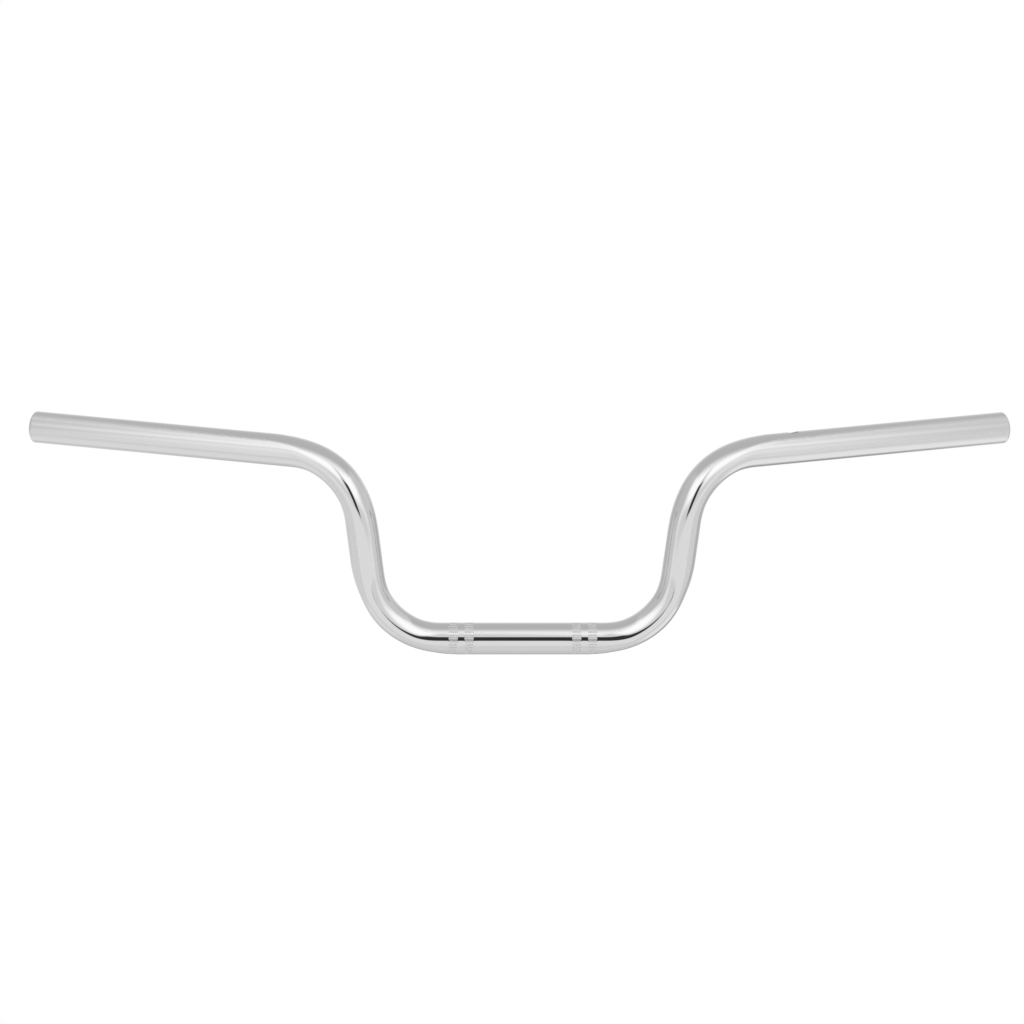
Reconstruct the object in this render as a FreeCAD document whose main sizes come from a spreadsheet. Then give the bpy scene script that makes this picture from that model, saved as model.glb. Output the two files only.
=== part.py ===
import FreeCAD, Part
import math
import os
import Sketcher

# A motorcycle handlebar: one steel tube, bent four times, with knurled bands where the stem clamps hold it.
# Millimetres, +Z up. The origin is on the tube's axis in the middle of the clamp straight, +X runs along
# the bar towards the throttle side and +Y points back towards the rider.

doc = FreeCAD.newDocument("handlebar")
sheet = doc.addObject("Spreadsheet::Sheet", "dims")

# Driving dimensions, in millimetres and degrees
DRIVING = (
    ("tube_od", 22.2, "outside diameter, the common 7/8 inch size"),
    ("wall", 2.0, "wall of the tube"),
    ("clamp_len", 108.0, "straight between the two lower bends"),
    ("bend_radius", 54.0, "radius of the tube's axis in all four bends, which one die makes"),
    ("bend_flat", 0.09, "share of the diameter lost towards a bend's centre"),
    ("bend_bulge", 0.5, "part of a bend's lost width that comes back across the bend"),
    ("low_angle", 82.5, "lower bend, turn from the clamp straight into the riser"),
    ("riser_len", 35.5, "straight between the lower and the upper bend"),
    ("pull_back", 21.8, "roll of the upper bend about the riser, which brings the grips back"),
    ("up_angle", 82.0, "upper bend, turn from the riser into the grip"),
    ("grip_len", 193.4, "straight for the grip and the controls"),
    ("rim_chamfer", 1.5, "chamfer of the outer edge at each end"),
    ("knurl_len", 6.4, "length of one knurled band along the tube"),
    ("knurl_gap", 4.6, "plain tube between the two bands of a pair"),
    ("knurl_margin", 2.4, "plain tube between the outer band and the lower bend"),
    ("knurl_teeth", 30, "grooves around one band"),
    ("knurl_depth", 0.5, "depth of one groove, whose two flanks are square to each other"),
    ("hole_dia", 8.0, "locating hole for the switch housing, in the throttle side's top wall"),
    ("hole_reach", 29.0, "from the upper bend to the middle of the locating hole"),
    ("hole_lean", 10.0, "how far the locating hole leans back towards the rider"),
)

# Sizes that follow from them
DERIVED = (
    ("bore_dia", "=tube_od - 2 * wall"),
    ("knurl_start", "=clamp_len / 2 - knurl_margin - 2 * knurl_len - knurl_gap"),
    ("riser_x", "=clamp_len / 2 + bend_radius * sin(low_angle * 1 deg) + riser_len * cos(low_angle * 1 deg)"),
    ("riser_z", "=bend_radius * (1 - cos(low_angle * 1 deg)) + riser_len * sin(low_angle * 1 deg)"),
)

for row, (alias, value, note) in enumerate(DRIVING, start=1):
    sheet.set(f"A{row}", note)
    sheet.set(f"B{row}", str(value))
    sheet.setAlias(f"B{row}", alias)
for row, (alias, formula) in enumerate(DERIVED, start=len(DRIVING) + 1):
    sheet.set(f"B{row}", formula)
    sheet.setAlias(f"B{row}", alias)
doc.recompute()

body = doc.addObject("PartDesign::Body", "handlebar_tube")
body.Label = "handlebar_tube"
origin = {feature.Role: feature for feature in body.Origin.OriginFeatures}
NORMAL = FreeCAD.Vector(0, 0, 1)
CENTRE = FreeCAD.Vector(0, 0, 0)
QUARTER_TURN = FreeCAD.Rotation(NORMAL, 90)
# How a sketch constraint names the sketch's own axes and the points of a curve
SKETCH_X_AXIS, SKETCH_Y_AXIS = range(-1, -3, -1)
START, END, MIDDLE = range(1, 4)
SKETCH_ORIGIN = (SKETCH_X_AXIS, START)


def new_sketch(name, support, mode):
    """An empty sketch of the tube's body, attached to a plane or to a bend's centre line."""
    sketch = body.newObject("Sketcher::SketchObject", name)
    sketch.AttachmentSupport = [support]
    sketch.MapMode = mode
    return sketch


def bind(sketch, constraint, expression):
    """Adds a constraint whose value comes from the sheet."""
    index = sketch.addConstraint(constraint)
    sketch.setExpression(f"Constraints[{index}]", expression)


def vee(sketch):
    """A knurl's groove in the top of the tube's section: two square flanks, closed above the tube."""
    depth = sheet.get("knurl_depth")
    low = sheet.get("tube_od") / 2 - depth
    high = low + 2 * depth
    corners = [FreeCAD.Vector(x, y, 0) for x, y in ((0, low), (2 * depth, high), (-2 * depth, high))]
    flank, lid, back = [
        sketch.addGeometry(Part.LineSegment(corners[number], corners[(number + 1) % 3]), False)
        for number in range(3)
    ]
    for before, after in ((flank, lid), (lid, back), (back, flank)):
        sketch.addConstraint(Sketcher.Constraint("Coincident", before, END, after, START))
    sketch.addConstraint(Sketcher.Constraint("PointOnObject", flank, START, SKETCH_Y_AXIS))
    sketch.addConstraint(Sketcher.Constraint("Horizontal", lid))
    sketch.addConstraint(Sketcher.Constraint("Equal", flank, back))
    sketch.addConstraint(Sketcher.Constraint("Perpendicular", flank, back))
    bottom = Sketcher.Constraint("DistanceY", *SKETCH_ORIGIN, flank, START, low)
    bind(sketch, bottom, "dims.tube_od / 2 - dims.knurl_depth")
    height = Sketcher.Constraint("DistanceY", flank, START, flank, END, high - low)
    bind(sketch, height, "2 * dims.knurl_depth")


def round_ring(sketch):
    """The tube's plain section: the outside and the bore as two circles about the sketch's origin."""
    for size in ("tube_od", "bore_dia"):
        radius = sheet.get(size) / 2
        circle = sketch.addGeometry(Part.Circle(CENTRE, NORMAL, radius), False)
        sketch.addConstraint(Sketcher.Constraint("Coincident", circle, MIDDLE, *SKETCH_ORIGIN))
        bind(sketch, Sketcher.Constraint("Diameter", circle, 2 * radius), f"dims.{size}")
    return sketch


def flattened_ring(sketch):
    """The section in the middle of a bend: narrower towards the bend's centre, wider across it."""
    lost = sheet.get("bend_flat")
    for size in ("tube_od", "bore_dia"):
        wide = sheet.get(size) * (1 + lost * sheet.get("bend_bulge"))
        narrow = sheet.get(size) * (1 - lost)
        shape = Part.Ellipse(FreeCAD.Vector(wide / 2, 0, 0), FreeCAD.Vector(0, narrow / 2, 0), CENTRE)
        ellipse = sketch.addGeometry(shape, False)
        sketch.exposeInternalGeometry(ellipse)
        long_axis, short_axis = ellipse + 1, ellipse + 2
        sketch.addConstraint(Sketcher.Constraint("Coincident", ellipse, MIDDLE, *SKETCH_ORIGIN))
        sketch.addConstraint(Sketcher.Constraint("Horizontal", long_axis))
        bind(sketch, Sketcher.Constraint("Distance", long_axis, wide),
             f"dims.{size} * (1 + dims.bend_flat * dims.bend_bulge)")
        bind(sketch, Sketcher.Constraint("Distance", short_axis, narrow),
             f"dims.{size} * (1 - dims.bend_flat)")
    return sketch


def bend(name, angle, place):
    """A bend that starts at the sketch's origin along its X and turns towards its Y.

    The tube is round at both ends and flattened in the middle. Gives back the centre line and the
    section at its far end."""
    line = new_sketch(f"{name}_centre_line", (origin["XZ_Plane"], ""), "FlatFace")
    for target, expression in place:
        line.setExpression(f"AttachmentOffset.{target}", expression)
    radius = sheet.get("bend_radius")
    turn = math.radians(sheet.get(angle))
    start = -math.pi / 2
    circle = Part.Circle(FreeCAD.Vector(0, radius, 0), NORMAL, radius)
    arc = line.addGeometry(Part.ArcOfCircle(circle, start, start + turn), False)
    line.addConstraint(Sketcher.Constraint("Coincident", arc, START, *SKETCH_ORIGIN))
    line.addConstraint(Sketcher.Constraint("Vertical", arc, MIDDLE, *SKETCH_ORIGIN))
    bind(line, Sketcher.Constraint("Radius", arc, radius), "dims.bend_radius")
    bind(line, Sketcher.Constraint("Angle", arc, turn), f"dims.{angle} * 1 deg")
    doc.recompute()

    sections = []
    for where, path in (("start", 0.0), ("middle", 0.5), ("end", 1.0)):
        section = new_sketch(f"{name}_{where}", (line, "Edge1"), "FrenetNB")
        section.MapPathParameter = path
        section.AttachmentOffset = FreeCAD.Placement(CENTRE, QUARTER_TURN)
        sections.append(flattened_ring(section) if where == "middle" else round_ring(section))
    pipe = body.newObject("PartDesign::AdditivePipe", name)
    pipe.Profile = sections[0]
    pipe.Spine = (line, ["Edge1"])
    pipe.Transformation = "Multisection"
    pipe.Sections = [(section, [""]) for section in sections[1:]]
    doc.recompute()
    return line, sections[-1]


def straight(name, section, length, after_bend=True):
    """A straight run of tube that goes on from a round section. A bend's section faces back along it."""
    pad = body.newObject("PartDesign::Pad", name)
    pad.Profile = section
    pad.Reversed = after_bend
    pad.setExpression("Length", length)
    doc.recompute()
    return pad


# The throttle side: half of the clamp straight, then the riser and the grip, each after its bend
clamp_section = round_ring(new_sketch("clamp_section", (origin["YZ_Plane"], ""), "FlatFace"))
straight("clamp_half", clamp_section, "dims.clamp_len / 2", after_bend=False)
_, riser_section = bend("lower_bend", "low_angle", (("Base.x", "dims.clamp_len / 2"),))
straight("riser", riser_section, "dims.riser_len")
up_line, grip_section = bend("upper_bend", "up_angle", (
    ("Base.x", "dims.riser_x"),
    ("Base.y", "dims.riser_z"),
    ("Rotation.Yaw", "dims.low_angle * 1 deg"),
    ("Rotation.Roll", "dims.pull_back * 1 deg - 180 deg"),
))
grip = straight("grip", grip_section, "dims.grip_len")

# The open end has its outer edge chamfered, so that a grip slides on
end_point = grip_section.Placement.multVec(FreeCAD.Vector(0, 0, -sheet.get("grip_len")))
SAME = 1e-3
rim_names = [
    f"Edge{number}" for number, edge in enumerate(grip.Shape.Edges, start=1)
    if isinstance(edge.Curve, Part.Circle)
    and edge.Curve.Center.isEqual(end_point, SAME)
    and abs(2 * edge.Curve.Radius - sheet.get("tube_od")) < SAME
]
rim = body.newObject("PartDesign::Chamfer", "rim")
rim.Base = (grip, rim_names)
rim.setExpression("Size", "dims.rim_chamfer")
doc.recompute()

# Knurled bands: one groove in the tube's top for each band of the pair, repeated around the tube's axis
BAND_STARTS = ("dims.knurl_start", "dims.knurl_start + dims.knurl_len + dims.knurl_gap")
grooves = []
for number, band_start in enumerate(BAND_STARTS, start=1):
    outline = new_sketch(f"knurl_groove_outline_{number}", (origin["YZ_Plane"], ""), "FlatFace")
    outline.setExpression("AttachmentOffset.Base.z", band_start)
    vee(outline)
    groove = body.newObject("PartDesign::Pocket", f"knurl_groove_{number}")
    groove.Profile = outline
    groove.Reversed = True
    groove.setExpression("Length", "dims.knurl_len")
    grooves.append(groove)
doc.recompute()
knurl = body.newObject("PartDesign::PolarPattern", "knurl")
knurl.Originals = grooves
knurl.Axis = (origin["X_Axis"], [""])
knurl.Angle = 360
knurl.setExpression("Occurrences", "dims.knurl_teeth")
body.Tip = knurl
doc.recompute()

# The clutch side mirrors it
both_sides = body.newObject("PartDesign::Mirrored", "both_sides")
both_sides.TransformMode = "Whole shape"
both_sides.MirrorPlane = (origin["YZ_Plane"], [""])
body.Tip = both_sides
doc.recompute()

# Only the throttle side has the locating hole. It goes up from the axis through the top wall
hole_outline = new_sketch("locating_hole_outline", (up_line, "Edge1"), "FrenetTB")
hole_outline.MapPathParameter = 1.0
hole_outline.setExpression("AttachmentOffset.Rotation.Roll", "-dims.hole_lean * 1 deg")
hole_circle = hole_outline.addGeometry(Part.Circle(CENTRE, NORMAL, sheet.get("hole_dia") / 2), False)
hole_outline.addConstraint(Sketcher.Constraint("PointOnObject", hole_circle, MIDDLE, SKETCH_X_AXIS))
reach = Sketcher.Constraint("DistanceX", *SKETCH_ORIGIN, hole_circle, MIDDLE, sheet.get("hole_reach"))
bind(hole_outline, reach, "dims.hole_reach")
bind(hole_outline, Sketcher.Constraint("Diameter", hole_circle, sheet.get("hole_dia")), "dims.hole_dia")
hole = body.newObject("PartDesign::Pocket", "locating_hole")
hole.Profile = hole_outline
hole.Reversed = True
hole.setExpression("Length", "dims.tube_od")
body.Tip = hole
doc.recompute()

# Nothing is written unless every feature has worked
for thing in doc.Objects:
    if "Invalid" in thing.State or "Error" in thing.State:
        raise RuntimeError(f"{thing.Name} has failed: {thing.getStatusString()}")
if body.Shape.isNull() or not body.Shape.isValid() or len(body.Shape.Solids) != 1:
    raise RuntimeError("the tube is not one sound solid")
os.makedirs("parts", exist_ok=True)
body.Shape.exportStep(f"parts/{body.Label}.step")
print(f"{body.Label}: {body.Shape.Volume / 1000:.2f} cm3")
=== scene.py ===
import bisect
import math

import bmesh
import bpy
from mathutils import Matrix, Vector


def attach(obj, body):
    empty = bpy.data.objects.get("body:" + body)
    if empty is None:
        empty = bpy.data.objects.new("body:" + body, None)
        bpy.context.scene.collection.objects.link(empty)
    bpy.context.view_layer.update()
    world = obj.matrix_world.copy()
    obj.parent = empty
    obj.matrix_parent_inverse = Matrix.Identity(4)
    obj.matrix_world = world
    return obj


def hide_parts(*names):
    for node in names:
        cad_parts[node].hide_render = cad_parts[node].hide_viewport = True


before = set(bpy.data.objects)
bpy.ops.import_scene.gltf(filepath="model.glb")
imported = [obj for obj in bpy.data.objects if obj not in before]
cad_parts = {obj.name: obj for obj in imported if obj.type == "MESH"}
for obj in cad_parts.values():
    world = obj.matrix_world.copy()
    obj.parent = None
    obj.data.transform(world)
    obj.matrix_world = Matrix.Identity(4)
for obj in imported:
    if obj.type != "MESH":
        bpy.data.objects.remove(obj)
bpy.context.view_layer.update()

# The handlebar: one length of drawn steel tube, bent four times on one die, which flattens a bend's inside
# and draws in its outer wall. Its ends are sawn, rounded over and left open. Knurled bands are rolled in
# for the clamps, and a locating hole for the switch housing is drilled and deburred in the throttle side.
MM = 0.001
TUBE_RADIUS = 11.1 * MM
BORE_RADIUS = 9.1 * MM
CLAMP_HALF = 54 * MM
BEND_RADIUS = 54 * MM
LOW_ANGLE = math.radians(82.5)
RISER_LENGTH = 35.5 * MM
PULL_BACK = math.radians(21.8)
UP_ANGLE = math.radians(82.0)
GRIP_LENGTH = 193.4 * MM

# A bend's inside is flattened by a share of the radius, and the bend grows wider by a share of that. Both
# come and go over BEND_EASE of its length. A lower bend is also widest a little nearer to its outer wall.
BEND_FLAT = 0.09
BEND_BULGE = 0.5
BEND_EASE = 0.3
SIDE_SHIFT = 2 * MM

# Each run of the throttle side: its length, its turn, and its roll about the tube. The riser is two runs.
# Its lower half belongs to the lower bend, and its upper half lies in the upper bend's plane.
RUNS = (
    (CLAMP_HALF, 0, 0),
    (BEND_RADIUS * LOW_ANGLE, LOW_ANGLE, 0),
    (RISER_LENGTH / 2, 0, 0),
    (RISER_LENGTH / 2, 0, math.pi + PULL_BACK),
    (BEND_RADIUS * UP_ANGLE, UP_ANGLE, 0),
    (GRIP_LENGTH, 0, 0),
)
LOWER_BEND, UPPER_RISER, UPPER_BEND = 1, 3, 4

# The outer wall is drawn in along a bend and a little beyond it: (place from the bend's start, depth) in mm
DRAWN_IN = {
    LOWER_BEND: ((-8, 0), (10, 1.3), (42, 1.0), (64, 1.65), (86, 0)),
    UPPER_BEND: ((-9, 0), (12, 0.9), (35, 0.45), (66, 1.45), (89, 0)),
}
DRAWN_REACH = 12 * MM


def onward(walked, length, turn):
    """The step from a run's start to a place along it. The tube runs along X and a bend turns towards Z."""
    if not turn:
        return Matrix.Translation((walked, 0, 0))
    angle = turn * walked / length
    arc = Vector((math.sin(angle), 0, 1 - math.cos(angle))) * BEND_RADIUS
    return Matrix.Translation(arc) @ Matrix.Rotation(-angle, 4, "Y")


run_starts = []
run_places = []
run_rolls = []
here = Matrix.Identity(4)
walked_so_far = 0
rolled_so_far = 0
for length, turn, roll in RUNS:
    here = here @ Matrix.Rotation(roll, 4, "X")
    rolled_so_far += roll
    run_starts.append(walked_so_far)
    run_places.append(here)
    run_rolls.append(rolled_so_far)
    here = here @ onward(length, length, turn)
    walked_so_far += length
TUBE_HALF = walked_so_far
GRIP_START = run_starts[-1]


def ease(share):
    """A smooth way from 0 to 1."""
    return share * share * (3 - 2 * share)


def drawn_in(bend, distance):
    """How far a bend's outer wall is drawn in at a distance along the tube."""
    profile = DRAWN_IN[bend]
    place = (distance - run_starts[bend]) / MM
    after = bisect.bisect_right(profile, (place, 0))
    if after in (0, len(profile)):
        return 0
    (start, depth), (end, next_depth) = profile[after - 1:after + 1]
    return (depth + (next_depth - depth) * ease((place - start) / (end - start))) * MM


def tube_point(distance, angle, radius):
    """A point of the tube: distance along it from its middle, angle round it, radius from its axis."""
    out = abs(distance)
    number = bisect.bisect_right(run_starts, out) - 1
    length, turn, _ = RUNS[number]
    walked = out - run_starts[number]
    pressed = ease(min(1, min(walked, length - walked) / (BEND_EASE * length))) if turn else 0
    part = radius / TUBE_RADIUS
    shifted = pressed * SIDE_SHIFT * part if number == LOWER_BEND else 0
    local = angle - run_rolls[number]
    rise = math.sin(local)
    across = radius * math.cos(local) * (1 + pressed * BEND_FLAT * BEND_BULGE)
    if rise > 0:
        inward = (radius * (1 - pressed * BEND_FLAT) + shifted) * rise - shifted
    else:
        bend = LOWER_BEND if number < UPPER_RISER else UPPER_BEND
        inward = (radius - shifted) * rise - shifted + drawn_in(bend, out) * part * rise ** 2
    point = run_places[number] @ onward(walked, length, turn) @ Vector((0, across, inward))
    point.x = math.copysign(point.x, distance)
    return point


# The knurl, in two bands on each side. Round the tube a tooth has four points: the groove's bottom, its
# edge, the middle of the land and the next groove's edge. The grooves are shallower than the CAD solid's,
# which would look too coarse here.
KNURL_TEETH = 30
KNURL_DEPTH = 0.3 * MM
KNURL_GROOVE = 1.0 * MM
KNURL_LENGTH = 6.4 * MM
KNURL_GAP = 4.6 * MM
KNURL_MARGIN = 2.4 * MM
KNURL_RUN_OUT = 0.3 * MM
TOOTH = 2 * math.pi / KNURL_TEETH
GROOVE_EDGE = KNURL_GROOVE / 2 / TUBE_RADIUS
TOOTH_POINTS = (0, GROOVE_EDGE, TOOTH / 2, TOOTH - GROOVE_EDGE)
# The faces after a tooth's first and its last point are the sides of a groove
GROOVE_SIDES = (0, len(TOOTH_POINTS) - 1)
ring_angles = [tooth * TOOTH + point for tooth in range(KNURL_TEETH) for point in TOOTH_POINTS]
RING = len(ring_angles)

# The rim falls away towards the sawn end in a parabola. A ring just before it keeps the tube straight.
RIM_LENGTH = 2.1 * MM
RIM_DROP = 1.75 * MM
RIM_STEPS = 7
RIM_LEAD = 0.3 * MM
RIM_START = RIM_LENGTH + RIM_LEAD
BORE_CHAMFER = 0.15 * MM

# The locating hole goes through the upper wall only. A patch of the grid round it is left out for it.
HOLE_RADIUS = 4 * MM
HOLE_DEBUR = 0.6 * MM
HOLE_FROM_BEND = 29 * MM
HOLE_LEAN = math.radians(10)
HOLE_PLACE = GRIP_START + HOLE_FROM_BEND
HOLE_ANGLE = math.pi / 2 + PULL_BACK - HOLE_LEAN
PATCH_REACH = 10 * MM
PATCH_ANGLE = 13.5 * MM / TUBE_RADIUS


def spread(start, end, step):
    """Even places from start up to end, no further apart than step."""
    count = math.ceil((end - start) / step)
    return [start + (end - start) * number / count for number in range(count)]


STRAIGHT_STEP = 6 * MM
BEND_STEP = 1.8 * MM
HOLE_STEP = 2.5 * MM
band_ends = []
outer_band = CLAMP_HALF - KNURL_MARGIN - KNURL_LENGTH
for band_start in (outer_band - KNURL_GAP - KNURL_LENGTH, outer_band):
    band_ends.append((band_start, band_start + KNURL_LENGTH))

plain_places = spread(0, CLAMP_HALF - DRAWN_REACH, STRAIGHT_STEP)
plain_places += spread(CLAMP_HALF - DRAWN_REACH, GRIP_START + DRAWN_REACH, BEND_STEP)
plain_places += spread(GRIP_START + DRAWN_REACH, HOLE_PLACE - PATCH_REACH, STRAIGHT_STEP)
plain_places += spread(HOLE_PLACE - PATCH_REACH, HOLE_PLACE + PATCH_REACH, HOLE_STEP)
plain_places += spread(HOLE_PLACE + PATCH_REACH, TUBE_HALF - RIM_START, STRAIGHT_STEP)

# The throttle side's rings, outside and inside: (place along the tube, radius, depth of the grooves)
outside = [
    (place, TUBE_RADIUS, 0) for place in plain_places
    if not any(start <= place <= end for start, end in band_ends)
]
for start, end in band_ends:
    outside += [(start, TUBE_RADIUS, 0), (start + KNURL_RUN_OUT, TUBE_RADIUS, KNURL_DEPTH)]
    outside += [(end - KNURL_RUN_OUT, TUBE_RADIUS, KNURL_DEPTH), (end, TUBE_RADIUS, 0)]
outside.sort()
outside.append((TUBE_HALF - RIM_START, TUBE_RADIUS, 0))
for step in range(RIM_STEPS + 1):
    done = step / RIM_STEPS
    outside.append((TUBE_HALF - RIM_LENGTH * (1 - done), TUBE_RADIUS - RIM_DROP * done ** 2, 0))
inside = [(place, BORE_RADIUS, 0) for place in plain_places]
inside += [(TUBE_HALF - BORE_CHAMFER, BORE_RADIUS, 0), (TUBE_HALF, BORE_RADIUS + BORE_CHAMFER, 0)]

# Out along the outside from the clutch end, and back along the bore, so that the grid closes on itself
rings = [(-place, radius, groove) for place, radius, groove in reversed(outside[1:])] + outside
inner_first = len(rings)
rings += list(reversed(inside)) + [(-place, radius, groove) for place, radius, groove in inside[1:]]

tube_mesh = bmesh.new()
unrolled = tube_mesh.loops.layers.uv.new("along_and_round")
PLATED, KNURLED, GROOVED, BARE = range(4)


def add_point(place, angle, radius):
    """A vertex, kept with its place along and its angle round the tube."""
    return tube_mesh.verts.new(tube_point(place, angle, radius)), place, angle


def add_face(corners, finish):
    """A face with its finish. Its texture coordinates are real distances along and round the tube."""
    face = tube_mesh.faces.new([corner[0] for corner in corners])
    face.material_index = finish
    face.smooth = True
    for loop, (_, place, angle) in zip(face.loops, corners):
        loop[unrolled].uv = (place, angle * TUBE_RADIUS)


grid = [
    [
        add_point(place, angle, radius - (groove if number % len(TOOTH_POINTS) == 0 else 0))
        for number, angle in enumerate(ring_angles)
    ]
    for place, radius, groove in rings
]
# Each ring ends on its first point again, a full turn further round, so that the texture coordinates go on
for row in grid:
    vertex, place, angle = row[0]
    row.append((vertex, place, angle + 2 * math.pi))

patch_columns = [
    number for number, angle in enumerate(ring_angles) if abs(angle - HOLE_ANGLE) < PATCH_ANGLE
]
left_column, right_column = patch_columns[0], patch_columns[-1]


def patch_rows(first, last):
    """The rings of the patch among those from first to last, in their order along the tube."""
    near = [
        number for number in range(first, last)
        if abs(rings[number][0] - HOLE_PLACE) < PATCH_REACH + HOLE_STEP / 2
    ]
    return sorted(near, key=lambda number: rings[number][0])


patches = (patch_rows(0, inner_first), patch_rows(inner_first, len(rings)))


def in_patch(row, column):
    """Whether the grid's face after this row and column is left out for the hole."""
    return left_column <= column < right_column and any(row in rows and row + 1 in rows for rows in patches)


# The sawn faces of the ends are as bare as the bore
for row in range(len(rings)):
    after = (row + 1) % len(rings)
    finish = PLATED if row < inner_first - 1 else BARE
    if rings[row][2] and rings[after][2]:
        finish = KNURLED
    for column in range(RING):
        if in_patch(row, column):
            continue
        in_groove = finish == KNURLED and column % len(TOOTH_POINTS) in GROOVE_SIDES
        corners = grid[row][column], grid[after][column], grid[after][column + 1], grid[row][column + 1]
        add_face(corners, GROOVED if in_groove else finish)


def hole_ring(border, radius, surface, depth):
    """A ring round the hole, depth below a surface of the tube, with one point for each of the border's."""
    ring = []
    for _, place, angle in border:
        bearing = math.atan2((angle - HOLE_ANGLE) * surface, place - HOLE_PLACE)
        sideways = radius * math.sin(bearing)
        height = math.sqrt(surface ** 2 - sideways ** 2) - depth
        ring_place = HOLE_PLACE + radius * math.cos(bearing)
        ring_angle = HOLE_ANGLE + math.atan2(sideways, height)
        ring.append(add_point(ring_place, ring_angle, math.hypot(sideways, height)))
    return ring


def join_rings(one, other, finish):
    """A closed band of faces between two rings with as many points."""
    for number in range(len(one)):
        previous = number - 1
        add_face((one[previous], one[number], other[number], other[previous]), finish)


FAN_STEPS = 4


def fan(rows, surface, finish, edge):
    """The faces from a patch's border in to the hole's edge. Gives back the border and the edge's ring."""
    border = [grid[rows[0]][column] for column in range(left_column, right_column)]
    border += [grid[row][right_column] for row in rows[:-1]]
    border += [grid[rows[-1]][column] for column in range(right_column, left_column, -1)]
    border += [grid[row][left_column] for row in rows[:0:-1]]
    hole = hole_ring(border, edge, surface, 0)
    before = border
    for step in range(1, FAN_STEPS):
        share = step / FAN_STEPS
        ring = []
        for (_, place, angle), (_, hole_place, hole_angle) in zip(border, hole):
            ring_place = place + (hole_place - place) * share
            ring_angle = angle + (hole_angle - angle) * share
            ring.append(add_point(ring_place, ring_angle, surface))
        join_rings(before, ring, finish)
        before = ring
    join_rings(before, hole, finish)
    return border, hole


# Both fans start at the same corner and go the same way round, so the hole's wall joins them point to point
outer_border, mouth = fan(patches[0], TUBE_RADIUS, PLATED, HOLE_RADIUS + HOLE_DEBUR)
_, foot = fan(patches[1], BORE_RADIUS, BARE, HOLE_RADIUS)
throat = hole_ring(outer_border, HOLE_RADIUS, TUBE_RADIUS, HOLE_DEBUR)
join_rings(mouth, throat, PLATED)
join_rings(throat, foot, GROOVED)

bmesh.ops.recalc_face_normals(tube_mesh, faces=tube_mesh.faces)
tube_data = bpy.data.meshes.new("handlebar_tube_finish")
tube_mesh.to_mesh(tube_data)
tube_mesh.free()
SHARP = math.radians(25)
tube_data.set_sharp_from_angle(angle=SHARP)
tube = bpy.data.objects.new("handlebar_tube_finish", tube_data)
bpy.context.scene.collection.objects.link(tube)


def srgb(code):
    """A colour written as sRGB hex, in linear values."""
    channels = [int(code[start:start + 2], 16) / 255 for start in (0, 2, 4)]
    return [c / 12.92 if c <= 0.04045 else ((c + 0.055) / 1.055) ** 2.4 for c in channels] + [1]


def add_node(tree, kind, inputs=None, **options):
    """Adds a node. Each of its inputs is given a value or the socket that feeds it."""
    made = tree.nodes.new(kind)
    for name, value in options.items():
        setattr(made, name, value)
    for name, value in (inputs or {}).items():
        if isinstance(value, bpy.types.NodeSocket):
            tree.links.new(value, made.inputs[name])
        else:
            made.inputs[name].default_value = value
    return made


def new_material(name):
    """An empty material, with its node tree and its output node."""
    material = bpy.data.materials.new(name)
    material.use_nodes = True
    material.node_tree.nodes.clear()
    return material, material.node_tree, add_node(material.node_tree, "ShaderNodeOutputMaterial")


# Bright chromium over polished nickel on steel. The belt that polishes the tube runs along it, so the plate
# keeps very faint streaks along the tube, which only show as a slight unevenness in what it mirrors. They
# are drawn wider than the belt's own scratches, which are too fine to show.
CHROME = "CCCCCC"
STREAK_WIDTH = 1.6 * MM
STREAK_LENGTH = 60 * MM
STREAK_STRENGTH = 0.02
HAZE_SIZE = 25 * MM
HAZE_LOW, HAZE_HIGH = 0.3, 0.7
PLATE_SMOOTHEST, PLATE_ROUGHEST = 0.02, 0.04
BUMP_DEPTH = 0.05 * MM
plated, tree, output = new_material("bright_chrome_plate")
spot = add_node(tree, "ShaderNodeTexCoord")
streak_scale = (1 / STREAK_LENGTH, 1 / STREAK_WIDTH, 1)
streak_place = add_node(tree, "ShaderNodeMapping", {"Vector": spot.outputs["UV"], "Scale": streak_scale})
streaks = add_node(
    tree, "ShaderNodeTexNoise", {"Vector": streak_place.outputs["Vector"], "Scale": 1, "Detail": 3})
haze = add_node(
    tree, "ShaderNodeTexNoise", {"Vector": spot.outputs["Object"], "Scale": 1 / HAZE_SIZE, "Detail": 4})
gloss = add_node(tree, "ShaderNodeMapRange", {
    "Value": haze.outputs["Fac"],
    "From Min": HAZE_LOW,
    "From Max": HAZE_HIGH,
    "To Min": PLATE_SMOOTHEST,
    "To Max": PLATE_ROUGHEST,
})
unevenness = add_node(tree, "ShaderNodeBump", {
    "Height": streaks.outputs["Fac"],
    "Strength": STREAK_STRENGTH,
    "Distance": BUMP_DEPTH,
})
chrome = add_node(tree, "ShaderNodeBsdfPrincipled", {
    "Base Color": srgb(CHROME),
    "Metallic": 1,
    "Roughness": gloss.outputs["Result"],
    "Normal": unevenness.outputs["Normal"],
})
tree.links.new(chrome.outputs["BSDF"], output.inputs["Surface"])

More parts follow.
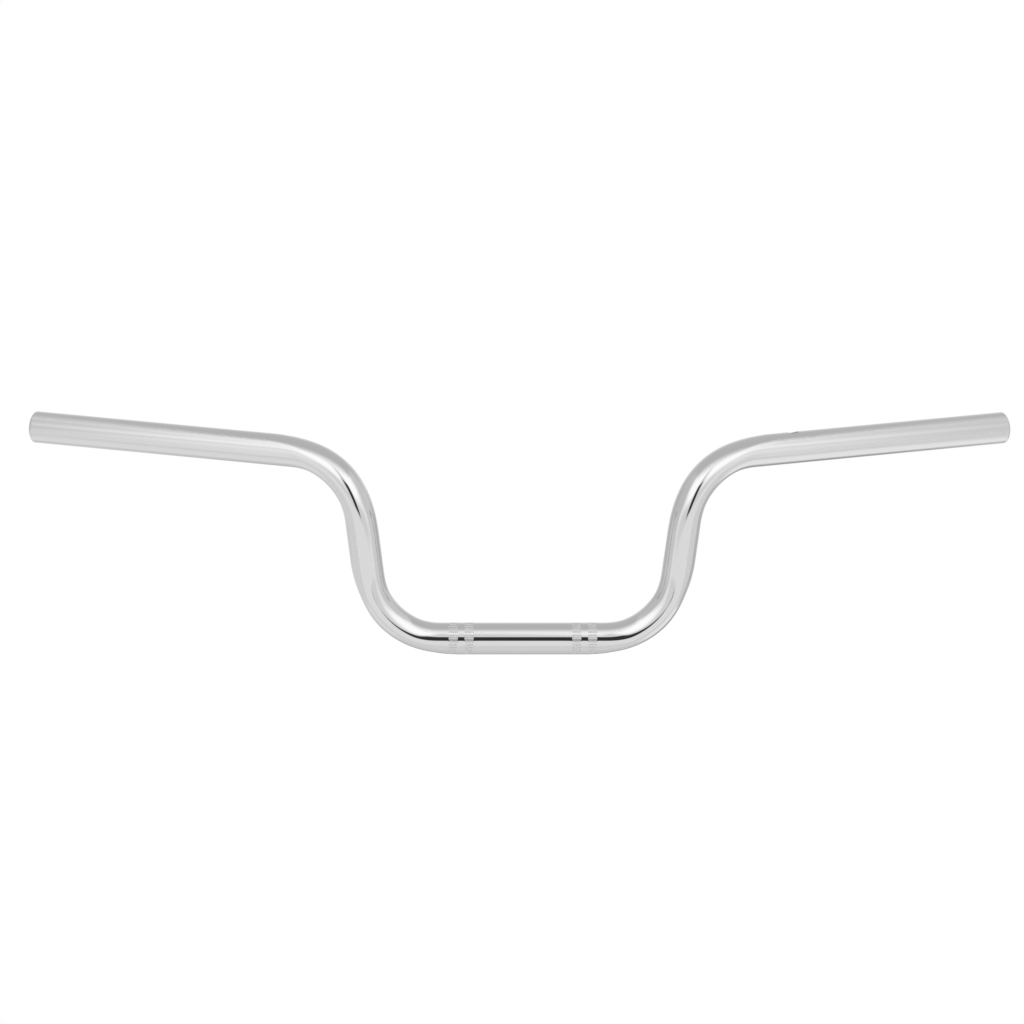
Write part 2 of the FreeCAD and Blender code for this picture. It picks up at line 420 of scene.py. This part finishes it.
# The same plate over the rolled knurl and in the drilled hole. The polishing belt only brushes the knurl's
# crests, which mirror a blur. It doesn't reach the grooves and the hole, where the plate stays matt. Its
# colour there is painted a little paler than the bright plate's. This is painted light, which offsets the
# shade that the grooves' reflections of each other leave in them. The grit is drawn coarser than the real
# one, which is too fine to show.
GROOVE_CHROME_PAINTED_PALER = "D3D3D3"
GRIT_SIZE = 0.4 * MM
GRIT_STRENGTH = 0.3
knurl_finishes = []
for name, plate_colour, smoothest, roughest in (
    ("brushed_chrome_on_knurl_crests", CHROME, 0.2, 0.36),
    # The grooves' and the hole's plate: matt, and painted paler as painted light against the shade in the
    # grooves
    ("matt_chrome_painted_paler_in_grooves_and_hole", GROOVE_CHROME_PAINTED_PALER, 0.6, 0.85),
):
    knurled, tree, output = new_material(name)
    spot = add_node(tree, "ShaderNodeTexCoord")
    grit = add_node(
        tree, "ShaderNodeTexNoise", {"Vector": spot.outputs["Object"], "Scale": 1 / GRIT_SIZE, "Detail": 2})
    rough = add_node(
        tree, "ShaderNodeMapRange",
        {"Value": grit.outputs["Fac"], "To Min": smoothest, "To Max": roughest})
    torn = add_node(tree, "ShaderNodeBump", {
        "Height": grit.outputs["Fac"],
        "Strength": GRIT_STRENGTH,
        "Distance": BUMP_DEPTH,
    })
    knurl_chrome = add_node(tree, "ShaderNodeBsdfPrincipled", {
        "Base Color": srgb(plate_colour),
        "Metallic": 1,
        "Roughness": rough.outputs["Result"],
        "Normal": torn.outputs["Normal"],
    })
    tree.links.new(knurl_chrome.outputs["BSDF"], output.inputs["Surface"])
    knurl_finishes.append(knurled)

# Inside the tube the steel is as drawn: the plating bath hardly reaches it, so it is dull, grey and blotchy
BLOTCH_SIZE = 6 * MM
BLOTCH_RAMP = ((0.35, "7A7772"), (0.65, "A9A6A1"))
STEEL_SMOOTHEST, STEEL_ROUGHEST = 0.45, 0.7
bare, tree, output = new_material("bare_drawn_steel")
spot = add_node(tree, "ShaderNodeTexCoord")
blotches = add_node(
    tree, "ShaderNodeTexNoise", {"Vector": spot.outputs["Object"], "Scale": 1 / BLOTCH_SIZE, "Detail": 6})
steel_colour = add_node(tree, "ShaderNodeValToRGB", {"Fac": blotches.outputs["Fac"]})
for stop, (position, colour) in zip(steel_colour.color_ramp.elements, BLOTCH_RAMP):
    stop.position = position
    stop.color = srgb(colour)
dull = add_node(
    tree, "ShaderNodeMapRange",
    {"Value": blotches.outputs["Fac"], "To Min": STEEL_SMOOTHEST, "To Max": STEEL_ROUGHEST})
steel = add_node(tree, "ShaderNodeBsdfPrincipled", {
    "Base Color": steel_colour.outputs["Color"],
    "Metallic": 1,
    "Roughness": dull.outputs["Result"],
})
tree.links.new(steel.outputs["BSDF"], output.inputs["Surface"])

for material in (plated, *knurl_finishes, bare):
    tube_data.materials.append(material)
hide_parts("handlebar_tube")
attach(tube, "root")

# The studio: a white room with a plain white floor well below the bar. Light boxes and soft cloths stand
# beside the camera and above it, and white boards lie low. Grey boards, walls and a cloth stand overhead,
# at the sides and behind. The room behind the camera is unlit. The bright tube mirrors all of them.
FLOOR_HEIGHT = -1.0
FLOOR_SIZE = 60
FLOOR_SHOWN_WHITE = 0.85
WHITE = "FFFFFF"
SQUARE = ((-1, -1), (1, -1), (1, 1), (-1, 1))

floor_mesh = bpy.data.meshes.new("studio_floor")
floor_half = FLOOR_SIZE / 2
floor_corners = [(x * floor_half, y * floor_half, FLOOR_HEIGHT) for x, y in SQUARE]
floor_mesh.from_pydata(floor_corners, [], [range(len(SQUARE))])
floor = bpy.data.objects.new("studio_floor", floor_mesh)
bpy.context.scene.collection.objects.link(floor)
white_floor, tree, output = new_material("white_painted_floor")
seen = add_node(tree, "ShaderNodeLightPath")
seen_or_mirrored = add_node(
    tree, "ShaderNodeMath",
    {0: seen.outputs["Is Camera Ray"], 1: seen.outputs["Is Glossy Ray"]}, operation="MAXIMUM")
seen_at_all = add_node(
    tree, "ShaderNodeMath",
    {0: seen_or_mirrored.outputs[0], 1: seen.outputs["Is Transmission Ray"]}, operation="MAXIMUM")
white_share = add_node(
    tree, "ShaderNodeMath", {0: seen_at_all.outputs[0], 1: FLOOR_SHOWN_WHITE}, operation="MULTIPLY")
paint = add_node(tree, "ShaderNodeBsdfDiffuse", {"Color": srgb(WHITE)})
shown_white = add_node(tree, "ShaderNodeEmission", {"Color": srgb(WHITE), "Strength": 1})
mixed = add_node(
    tree, "ShaderNodeMixShader",
    {0: white_share.outputs[0], 1: paint.outputs["BSDF"], 2: shown_white.outputs["Emission"]})
tree.links.new(mixed.outputs["Shader"], output.inputs["Surface"])
floor_mesh.materials.append(white_floor)

world = bpy.data.worlds.new("white_room")
bpy.context.scene.world = world
world.use_nodes = True
world.node_tree.nodes.clear()
room = add_node(world.node_tree, "ShaderNodeBackground", {"Color": srgb(WHITE), "Strength": 1})
add_node(world.node_tree, "ShaderNodeOutputWorld", {"Surface": room.outputs["Background"]})

# The camera looks along +Y, a little from the left and from above, and from far enough away to show hardly
# any perspective. PICTURE_SCALE is pixels to the metre, and the clamp straight's middle is at CLAMP_PIXEL.
CAMERA_DISTANCE = 5.0
CAMERA_AZIMUTH = math.radians(1.592)
CAMERA_ELEVATION = math.radians(11.365)
CAMERA_ROLL = math.radians(0.341)
PICTURE_SCALE = 1437.0
PICTURE_SIZE = 1024
CLAMP_PIXEL = (522.5, 638.45)
SENSOR = 36.0

camera_turn = (
    Matrix.Rotation(-CAMERA_AZIMUTH, 4, "Z")
    @ Matrix.Rotation(math.pi / 2 - CAMERA_ELEVATION, 4, "X")
    @ Matrix.Rotation(CAMERA_ROLL, 4, "Z")
)
clamp_aside = (CLAMP_PIXEL[0] - PICTURE_SIZE / 2) / PICTURE_SCALE
clamp_below = (CLAMP_PIXEL[1] - PICTURE_SIZE / 2) / PICTURE_SCALE
camera_data = bpy.data.cameras.new("photo_camera")
camera_data.sensor_width = SENSOR
camera_data.lens = SENSOR * PICTURE_SCALE * CAMERA_DISTANCE / PICTURE_SIZE
camera = bpy.data.objects.new("photo_camera", camera_data)
camera.matrix_world = camera_turn @ Matrix.Translation((-clamp_aside, clamp_below, CAMERA_DISTANCE))
bpy.context.scene.collection.objects.link(camera)
bpy.context.scene.camera = camera

STUDIO_MIDDLE = Vector((0, 0, 0.06))
PANEL_MIDDLE = 0.5


def studio_panel(name, bearing, height, distance, reach, fade, level):
    """A flat panel that faces the bar and thins out towards its edges.

    Bearing and height are where the bar sees its middle, in degrees: bearing 0 is on the camera's side and
    90 on the throttle side. Reach is how far it goes from there, across and up, in degrees. Fade is the
    part of that, from the edge inwards, over which it thins out."""
    half_width, half_height = [distance * math.tan(math.radians(angle)) for angle in reach]
    mesh = bpy.data.meshes.new(name)
    corners = [(x * half_width, y * half_height, 0) for x, y in SQUARE]
    mesh.from_pydata(corners, [], [range(len(SQUARE))])
    panel = bpy.data.objects.new(name, mesh)
    turned = (
        Matrix.Rotation(math.radians(bearing), 4, "Z")
        @ Matrix.Rotation(math.radians(90 - height), 4, "X")
    )
    panel.matrix_world = Matrix.Translation(STUDIO_MIDDLE) @ turned @ Matrix.Translation((0, 0, distance))
    bpy.context.scene.collection.objects.link(panel)
    material, tree, output = new_material(name)
    spot = add_node(tree, "ShaderNodeTexCoord")
    parts = add_node(tree, "ShaderNodeSeparateXYZ", {"Vector": spot.outputs["Generated"]})
    solid = 1
    for axis, part in zip("XY", fade):
        inwards = add_node(
            tree, "ShaderNodeMath", {0: parts.outputs[axis], 1: PANEL_MIDDLE}, operation="PINGPONG")
        grown = add_node(
            tree, "ShaderNodeMapRange", {"Value": inwards.outputs[0], "From Max": part * PANEL_MIDDLE},
            interpolation_type="SMOOTHSTEP")
        product = add_node(tree, "ShaderNodeMath", {0: grown.outputs[0], 1: solid}, operation="MULTIPLY")
        solid = product.outputs[0]
    clear = add_node(tree, "ShaderNodeBsdfTransparent")
    glow = add_node(tree, "ShaderNodeEmission", {"Color": srgb(WHITE), "Strength": level})
    soft = add_node(
        tree, "ShaderNodeMixShader", {0: solid, 1: clear.outputs["BSDF"], 2: glow.outputs["Emission"]})
    tree.links.new(soft.outputs["Shader"], output.inputs["Surface"])
    mesh.materials.append(material)
    panel.visible_camera = False
    panel.visible_shadow = False


studio_panel("unlit_room_behind_camera", 1, 7.5, 5.4, (10, 16), (0.3, 0.25), 0.045)
studio_panel("grey_board_overhead", 180, 81.5, 0.55, (40.5, 48), (0.3, 0.9), 0.72)
studio_panel("long_light_box_above", 0, 66.5, 1.5, (52, 31), (0.85, 1), 1.43)
for side in (-1, 1):
    studio_panel("light_box_beside_camera", 26.5 * side, 30.5, 1.3, (21.5, 29.5), (0.4, 0.75), 1.6)
    studio_panel("soft_cloth_beyond_light_box", 49 * side, 46, 1.35, (19, 34), (0.95, 0.6), 1.45)
    studio_panel("low_light_box_beside_camera", 48 * side, 8, 1.2, (16, 25), (0.95, 1), 1.25)
studio_panel("grey_side_wall_clutch", -78.5, 24.5, 1.7, (31.5, 43), (0.25, 0.85), 0.8)
studio_panel("grey_side_wall_throttle", 78.5, 24.5, 1.7, (31.5, 43), (0.25, 0.85), 0.91)
studio_panel("grey_far_corner_clutch", -129, 6, 1.6, (33, 27), (0.8, 0.6), 0.71)
studio_panel("grey_far_corner_throttle", 127, -25.5, 1.6, (30.5, 43), (0.55, 0.55), 0.68)
studio_panel("grey_ceiling", 180, 49, 2, (70, 43), (0.8, 1), 0.74)
studio_panel("white_board_in_front", 0, -26.5, 1, (57, 20), (0.35, 0.15), 1.14)
studio_panel("white_board_clutch_side", -94, -47.5, 0.85, (27.5, 20), (0.6, 0.6), 1.1)
studio_panel("white_board_throttle_side", 94, -47.5, 0.85, (27.5, 20), (0.6, 0.6), 1.24)
studio_panel("grey_cloth_behind", 180, -45.5, 0.7, (60, 55), (1, 1), 0.81)
studio_panel("dark_fold_in_the_cloth", 168, -38, 0.6, (38, 16), (0.5, 0.6), 0.46)

bpy.context.scene.view_settings.view_transform = "Standard"
